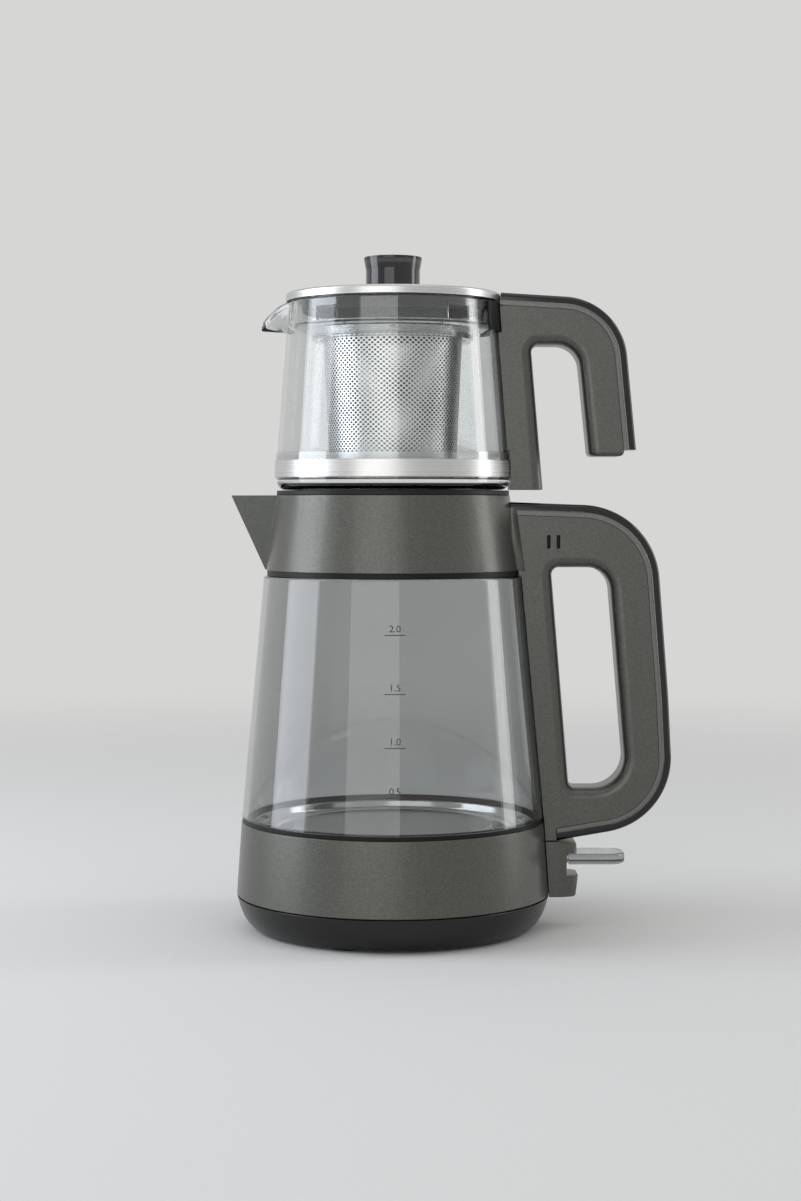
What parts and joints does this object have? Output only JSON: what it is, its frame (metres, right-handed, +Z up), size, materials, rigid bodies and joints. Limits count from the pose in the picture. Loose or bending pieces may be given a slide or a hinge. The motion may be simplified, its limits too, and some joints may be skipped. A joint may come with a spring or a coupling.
{
  "type": "automatic tea maker",
  "caption": "Two-tier electric tea maker: a glass kettle with a V spout on a cordless power base, and a glass teapot with a steel strainer and a flat steel lid on top.",
  "frame": {"origin": "on the kettle's vertical axis, at the table under the rubber feet", "axes": "+Z up along the kettle's axis; -X towards the spout, +X towards the handles and the switch lever; -Y is the front with the water marks, +Y the back with the cord outlet"},
  "size_m": [0.2434, 0.1748, 0.371],
  "materials": {
    "base_plastic": "satin black moulded plastic",
    "rubber_feet": "matt black rubber",
    "steel_screw": "plain zinc-plated steel",
    "connector_plastic": "matt black moulded plastic",
    "brass_contact": "plain turned brass",
    "metallic_paint": "metallic dark grey paint with a fine flake",
    "painted_plastic": "metallic dark grey paint with a fine flake",
    "gloss_black": "gloss black moulded plastic",
    "plate_steel": "pressed stainless steel",
    "spreader_aluminium": "plain aluminium",
    "cutout_metal": "plated steel case",
    "silicone_seal": "black silicone",
    "kettle_glass": "clear borosilicate glass",
    "pot_glass": "clear borosilicate glass",
    "seat_plastic": "satin black heat-proof plastic",
    "clear_plastic": "clear moulded plastic",
    "brushed_steel": "brushed stainless steel",
    "knob_plastic": "smoked translucent plastic"
  },
  "bodies": {
    "power_base": {"base_shell": "base_plastic", "base_bottom_cover": "base_plastic", "base_feet": "rubber_feet", "base_screws": "steel_screw", "base_connector": "connector_plastic", "base_contacts": "brass_contact", "cord_gland": "rubber_feet"},
    "kettle": {"lower_ring": "metallic_paint", "kettle_bottom_cover": "base_plastic", "kettle_screws": "steel_screw", "kettle_connector": "connector_plastic", "connector_terminals": "brass_contact", "heating_plate": "plate_steel", "heat_spreader": "spreader_aluminium", "heating_element": "plate_steel", "boil_dry_cutout": "cutout_metal", "lower_glass_seal": "silicone_seal", "upper_glass_seal": "silicone_seal", "kettle_glass": "kettle_glass", "collar": "metallic_paint", "pot_seat_ring": "seat_plastic", "kettle_handle": "painted_plastic", "kettle_handle_band": "painted_plastic", "kettle_handle_trim": "gloss_black", "switch_housing": "painted_plastic", "switch_pin": "steel_screw", "steam_switch": "connector_plastic", "lever_spring": "steel_screw", "indicator_lamp": "clear_plastic", "steam_duct": "silicone_seal"},
    "switch_lever": {"switch_lever": "clear_plastic"},
    "teapot": {"teapot_glass": "pot_glass", "pot_band_liner": "clear_plastic", "pot_band": "brushed_steel", "teapot_handle": "painted_plastic", "teapot_handle_band": "painted_plastic", "teapot_handle_trim": "gloss_black", "pot_saddle": "seat_plastic"},
    "strainer": {"strainer_holder": "clear_plastic", "strainer_flange": "brushed_steel", "strainer_basket": "brushed_steel"},
    "lid": {"lid_cap": "brushed_steel", "lid_plug": "seat_plastic", "lid_knob": "knob_plastic", "knob_screw": "steel_screw"}
  },
  "joints": [
    {"name": "kettle_lift", "type": "slide", "parent": "power_base", "child": "kettle", "axis": [0, 0, 1], "range_m": [0, 0.025]},
    {"name": "lever_tilt", "type": "hinge", "parent": "kettle", "child": "switch_lever", "pos_m": [0.0924, 0, 0.0386], "axis": [0, 1, 0], "range_deg": [0, 12]},
    {"name": "teapot_lift", "type": "slide", "parent": "kettle", "child": "teapot", "axis": [0, 0, 1], "range_m": [0, 0.03]},
    {"name": "strainer_lift", "type": "slide", "parent": "teapot", "child": "strainer", "axis": [0, 0, 1], "range_m": [0, 0.1]},
    {"name": "lid_lift", "type": "slide", "parent": "strainer", "child": "lid", "axis": [0, 0, 1], "range_m": [0, 0.03]}
  ]
}
